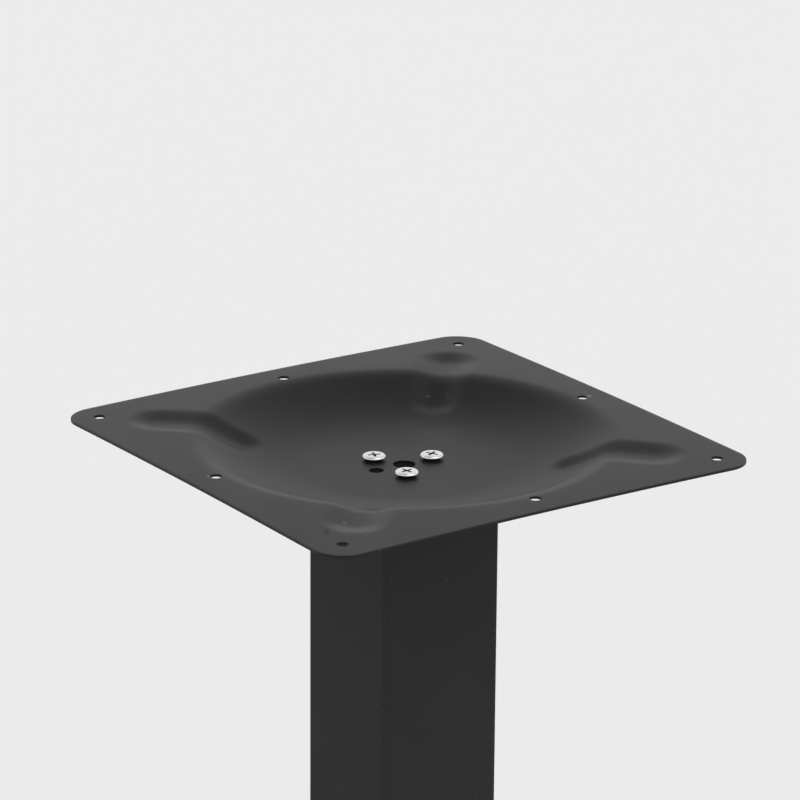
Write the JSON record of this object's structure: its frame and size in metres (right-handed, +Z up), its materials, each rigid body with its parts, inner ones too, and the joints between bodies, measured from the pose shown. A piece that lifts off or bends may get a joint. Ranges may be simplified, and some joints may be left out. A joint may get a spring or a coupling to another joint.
{
  "type": "table leg",
  "caption": "Free-standing square column table leg with a pressed, dished top plate, a flat square foot plate and levelling feet.",
  "frame": {"origin": "on the floor under the middle of the column", "axes": "+Z up along the column, X and Y parallel to the sides of the plates"},
  "size_m": [0.45, 0.45, 0.71],
  "materials": {
    "black_powder_coat": "matt black powder coat",
    "zinc_plated_steel": "bright zinc plating",
    "black_polyamide": "moulded, fine grain"
  },
  "bodies": {
    "leg": {"top_plate": "black_powder_coat", "top_screw_1": "zinc_plated_steel", "top_screw_2": "zinc_plated_steel", "top_screw_3": "zinc_plated_steel", "column_tube": "black_powder_coat", "column_top_plate": "black_powder_coat", "column_bottom_plate": "black_powder_coat", "foot_plate": "black_powder_coat", "foot_screw_1": "zinc_plated_steel", "foot_screw_2": "zinc_plated_steel", "foot_screw_3": "zinc_plated_steel", "foot_screw_4": "zinc_plated_steel"},
    "pad_1": {"foot_pad_1": "black_polyamide"},
    "stud_1": {"foot_stud_1": "zinc_plated_steel"},
    "pad_2": {"foot_pad_2": "black_polyamide"},
    "stud_2": {"foot_stud_2": "zinc_plated_steel"},
    "pad_3": {"foot_pad_3": "black_polyamide"},
    "stud_3": {"foot_stud_3": "zinc_plated_steel"},
    "pad_4": {"foot_pad_4": "black_polyamide"},
    "stud_4": {"foot_stud_4": "zinc_plated_steel"}
  },
  "joints": [
    {"name": "foot_1_rise", "type": "slide", "parent": "leg", "child": "pad_1", "axis": [0, 0, 1], "range_m": [0, 0.0036]},
    {"name": "foot_1_turn", "type": "hinge", "parent": "pad_1", "child": "stud_1", "pos_m": [-0.19, -0.19, 0.01], "axis": [0, 0, 1], "range_deg": [0, 1007]},
    {"name": "foot_2_rise", "type": "slide", "parent": "leg", "child": "pad_2", "axis": [0, 0, 1], "range_m": [0, 0.0036]},
    {"name": "foot_2_turn", "type": "hinge", "parent": "pad_2", "child": "stud_2", "pos_m": [-0.19, 0.19, 0.01], "axis": [0, 0, 1], "range_deg": [0, 1007]},
    {"name": "foot_3_rise", "type": "slide", "parent": "leg", "child": "pad_3", "axis": [0, 0, 1], "range_m": [0, 0.0036]},
    {"name": "foot_3_turn", "type": "hinge", "parent": "pad_3", "child": "stud_3", "pos_m": [0.19, -0.19, 0.01], "axis": [0, 0, 1], "range_deg": [0, 1007]},
    {"name": "foot_4_rise", "type": "slide", "parent": "leg", "child": "pad_4", "axis": [0, 0, 1], "range_m": [0, 0.0036]},
    {"name": "foot_4_turn", "type": "hinge", "parent": "pad_4", "child": "stud_4", "pos_m": [0.19, 0.19, 0.01], "axis": [0, 0, 1], "range_deg": [0, 1007]}
  ],
  "couplings": [
    {"joint": "foot_1_rise", "follows": "foot_1_turn", "m_per_rad": 0.00019894},
    {"joint": "foot_2_rise", "follows": "foot_2_turn", "m_per_rad": 0.00019894},
    {"joint": "foot_3_rise", "follows": "foot_3_turn", "m_per_rad": 0.00019894},
    {"joint": "foot_4_rise", "follows": "foot_4_turn", "m_per_rad": 0.00019894}
  ]
}
